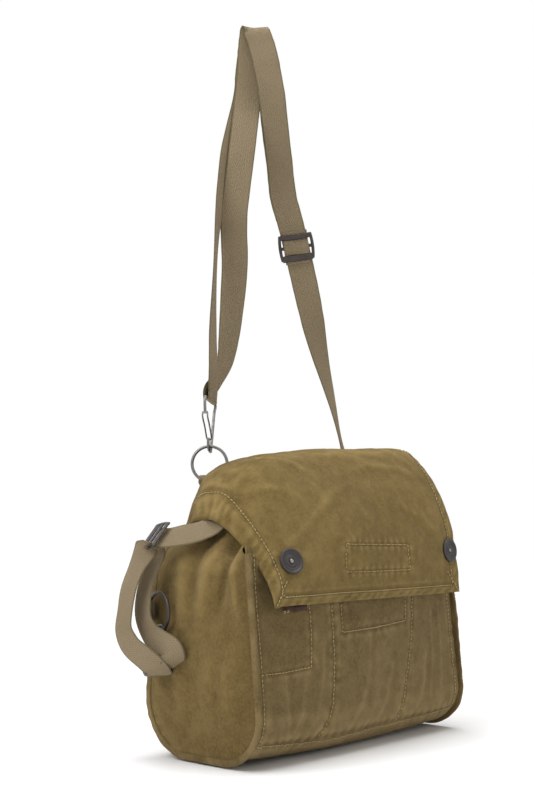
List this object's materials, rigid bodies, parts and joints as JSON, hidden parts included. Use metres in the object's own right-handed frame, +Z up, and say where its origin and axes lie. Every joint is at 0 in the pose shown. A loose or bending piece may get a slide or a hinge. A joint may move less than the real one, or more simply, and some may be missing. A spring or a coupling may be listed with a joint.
{
  "type": "messenger bag",
  "caption": "Canvas haversack-style shoulder bag with a button-down flap, an adjustable webbing shoulder strap on a snap hook and ring, and a waist strap clipped at its side",
  "frame": {"origin": "the middle of the base, on the surface that the bag stands on", "axes": "+X to the wearer-side right end of the bag, seen from the front; the front faces -Y; +Z is up"},
  "size_m": [0.3267, 0.1534, 0.6642],
  "materials": {
    "canvas": "worn olive cotton canvas with pale stitching",
    "lining": "plain cotton lining",
    "webbing": "khaki grey woven cotton webbing",
    "dark_tape": "dark brown woven tape",
    "bright_steel": "bright nickel-plated wire and rivets",
    "dark_metal": "dark brown-black lacquered steel, worn at the edges",
    "button": "dark lacquered dished cap with a worn rim"
  },
  "bodies": {
    "bag": {"main_panel": "canvas", "left_end_panel": "canvas", "right_end_panel": "canvas", "left_seam_rib": "canvas", "right_seam_rib": "canvas", "left_inner_pocket": "lining", "centre_inner_pocket": "lining", "pocket_lining": "lining", "front_keeper": "dark_tape", "stud_posts": "bright_steel", "stud_backings": "bright_steel", "chape_patch": "webbing", "strap_anchor_patch": "webbing", "waist_tail": "webbing", "waist_outer_layer": "webbing", "waist_inner_layer": "webbing", "waist_eye_loop": "webbing", "waist_hook": "bright_steel", "waist_gate_pin": "bright_steel", "side_chape": "webbing", "waist_slide": "dark_metal"},
    "flap_lid": {"flap_top": "canvas"},
    "flap_fall": {"flap_front": "canvas", "flap_patch": "lining", "hem_band": "canvas", "button_caps": "button", "button_rivets": "bright_steel", "button_sockets": "bright_steel"},
    "shoulder_strap": {"chape_loop": "webbing", "strap_running_length": "webbing", "strap_return_length": "webbing", "strap_hook_loop": "webbing", "shoulder_hook": "bright_steel", "shoulder_gate_pin": "bright_steel"},
    "ring": {"shoulder_ring": "bright_steel"},
    "gate": {"shoulder_gate": "bright_steel"},
    "slide": {"strap_slide": "dark_metal", "slide_bight": "webbing"},
    "waist_gate_body": {"waist_gate": "bright_steel"},
    "side_ring_body": {"side_ring": "bright_steel"}
  },
  "joints": [
    {"name": "flap_hinge", "type": "hinge", "parent": "bag", "child": "flap_lid", "pos_m": [0, 0.047, 0.252], "axis": [-1, 0, 0], "range_deg": [0, 78]},
    {"name": "flap_fold", "type": "hinge", "parent": "flap_lid", "child": "flap_fall", "pos_m": [0, -0.01615, 0.252], "axis": [-1, 0, 0], "range_deg": [0, 50]},
    {"name": "strap_swing", "type": "hinge", "parent": "bag", "child": "shoulder_strap", "pos_m": [0, 0.0512, 0.224], "axis": [-1, 0, 0], "range_deg": [0, 45]},
    {"name": "ring_swing", "type": "hinge", "parent": "shoulder_strap", "child": "ring", "pos_m": [-0.068, 0.063, 0.228], "axis": [0, 0, 1], "range_deg": [-4, 4]},
    {"name": "shoulder_gate_hinge", "type": "hinge", "parent": "shoulder_strap", "child": "gate", "pos_m": [-0.0803, 0.05673, 0.28862], "axis": [0.454, -0.891, 0], "range_deg": [0, 10], "stiffness_Nm_per_rad": 0.02},
    {"name": "slide_travel", "type": "slide", "parent": "shoulder_strap", "child": "slide", "axis": [-0.3536, 0, 0.9354], "range_m": [-0.012, 0.008]},
    {"name": "waist_gate_hinge", "type": "hinge", "parent": "bag", "child": "waist_gate_body", "pos_m": [-0.15748, 0.04825, 0.082], "axis": [0.8189, 0.5739, 0], "range_deg": [0, 10], "stiffness_Nm_per_rad": 0.02},
    {"name": "side_ring_swing", "type": "hinge", "parent": "bag", "child": "side_ring_body", "pos_m": [-0.148, 0.0533, 0.119], "axis": [0, 0, 1], "range_deg": [-0.5, 1]}
  ]
}
